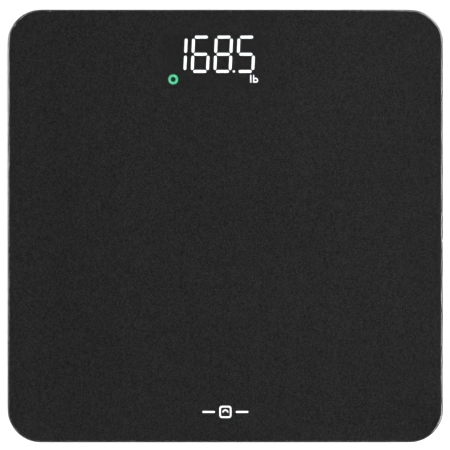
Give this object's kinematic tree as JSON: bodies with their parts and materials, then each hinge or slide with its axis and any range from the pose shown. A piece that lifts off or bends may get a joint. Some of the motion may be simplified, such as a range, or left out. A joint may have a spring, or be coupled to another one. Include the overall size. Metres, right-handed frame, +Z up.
{
  "type": "digital bathroom scale",
  "caption": "Square glass digital bathroom scale with rounded corners, a lit display under the glass, weighing feet, a unit button and a hinged battery door.",
  "frame": {"origin": "centre of the footprint, on the floor", "axes": "+Z up, +X to the right and +Y towards the display for a reader who stands at the front edge"},
  "size_m": [0.302, 0.3, 0.025],
  "materials": {
    "platform_glass": "clear tempered glass with a polished edge",
    "black_print": "fired black enamel with a fine grey speckle",
    "smoked_film": "dark smoked film",
    "white_ink": "white printed ink",
    "foam_tape": "black acrylic foam tape",
    "tray_plastic": "black moulded plastic with a fine spark texture",
    "board_laminate": "green solder mask",
    "screw_steel": "zinc plated",
    "display_plastic": "white moulded plastic",
    "mask_film": "black printed mask",
    "lit_light": "white light pipe, lit",
    "dark_light": "light pipe, unlit",
    "green_light": "green light pipe, lit",
    "lamp_resin": "yellow phosphor resin",
    "chip_resin": "black epoxy",
    "part_ceramic": "ceramic with tinned ends",
    "button_plastic": "grey moulded plastic",
    "contact_nickel": "nickel plated spring steel",
    "battery_can": "printed sleeve over a steel can",
    "spring_steel": "nickel plated spring steel",
    "sealant": "white silicone sealant",
    "retainer_plastic": "natural moulded plastic",
    "foot_plastic": "black moulded plastic",
    "foot_rubber": "dark grey moulded rubber",
    "black_wire": "insulated wire",
    "red_wire": "insulated wire",
    "white_wire": "insulated wire"
  },
  "bodies": {
    "housing": {"back_print": "black_print", "base_tray": "tray_plastic", "battery_1": "battery_can", "battery_2": "battery_can", "battery_3": "battery_can", "battery_link_left": "contact_nickel", "battery_link_right": "contact_nickel", "battery_terminal_negative": "contact_nickel", "battery_terminal_positive": "contact_nickel", "battery_wire_black": "black_wire", "battery_wire_red": "red_wire", "board_parts": "part_ceramic", "board_screws": "screw_steel", "button_switch": "chip_resin", "cell_retainer_back_left": "retainer_plastic", "cell_retainer_back_right": "retainer_plastic", "cell_retainer_front_left": "retainer_plastic", "cell_retainer_front_right": "retainer_plastic", "cell_wires_back_left": "white_wire", "cell_wires_back_right": "white_wire", "cell_wires_front_left": "white_wire", "cell_wires_front_right": "white_wire", "control_chip": "chip_resin", "display_housing": "display_plastic", "display_mask": "mask_film", "glass_platform": "platform_glass", "led_chips": "lamp_resin", "lit_segments": "lit_light", "load_cell_back_left": "spring_steel", "load_cell_back_right": "spring_steel", "load_cell_front_left": "spring_steel", "load_cell_front_right": "spring_steel", "main_board": "board_laminate", "retainer_screws": "screw_steel", "ring_light": "green_light", "strain_gauge_back_left": "sealant", "strain_gauge_back_right": "sealant", "strain_gauge_front_left": "sealant", "strain_gauge_front_right": "sealant", "support_tape": "foam_tape", "tape_frame": "foam_tape", "unlit_segments": "dark_light", "white_mark": "white_ink", "window_film": "smoked_film"},
    "foot_front_left": {"foot_cup_front_left": "foot_plastic", "foot_pad_front_left": "foot_rubber"},
    "foot_front_right": {"foot_cup_front_right": "foot_plastic", "foot_pad_front_right": "foot_rubber"},
    "foot_back_left": {"foot_cup_back_left": "foot_plastic", "foot_pad_back_left": "foot_rubber"},
    "foot_back_right": {"foot_cup_back_right": "foot_plastic", "foot_pad_back_right": "foot_rubber"},
    "unit_button_cap": {"unit_button": "button_plastic", "switch_plunger": "display_plastic"},
    "door": {"battery_door": "tray_plastic", "door_latch": "tray_plastic"}
  },
  "joints": [
    {"name": "foot_travel_front_left", "type": "slide", "parent": "housing", "child": "foot_front_left", "axis": [0, 0, 1], "range_m": [0, 0.0005], "stiffness_N_per_m": 50000, "deforming": ["load_cell_front_left"]},
    {"name": "foot_travel_front_right", "type": "slide", "parent": "housing", "child": "foot_front_right", "axis": [0, 0, 1], "range_m": [0, 0.0005], "stiffness_N_per_m": 50000, "deforming": ["load_cell_front_right"]},
    {"name": "foot_travel_back_left", "type": "slide", "parent": "housing", "child": "foot_back_left", "axis": [0, 0, 1], "range_m": [0, 0.0005], "stiffness_N_per_m": 50000, "deforming": ["load_cell_back_left"]},
    {"name": "foot_travel_back_right", "type": "slide", "parent": "housing", "child": "foot_back_right", "axis": [0, 0, 1], "range_m": [0, 0.0005], "stiffness_N_per_m": 50000, "deforming": ["load_cell_back_right"]},
    {"name": "unit_press", "type": "slide", "parent": "housing", "child": "unit_button_cap", "axis": [0, 0, 1], "range_m": [0, 0.0005], "stiffness_N_per_m": 3000},
    {"name": "door_hinge", "type": "hinge", "parent": "housing", "child": "door", "pos_m": [0, 0.0359, 0.0062], "axis": [-1, 0, 0], "range_deg": [0, 80], "deforming": ["door_latch"]}
  ]
}
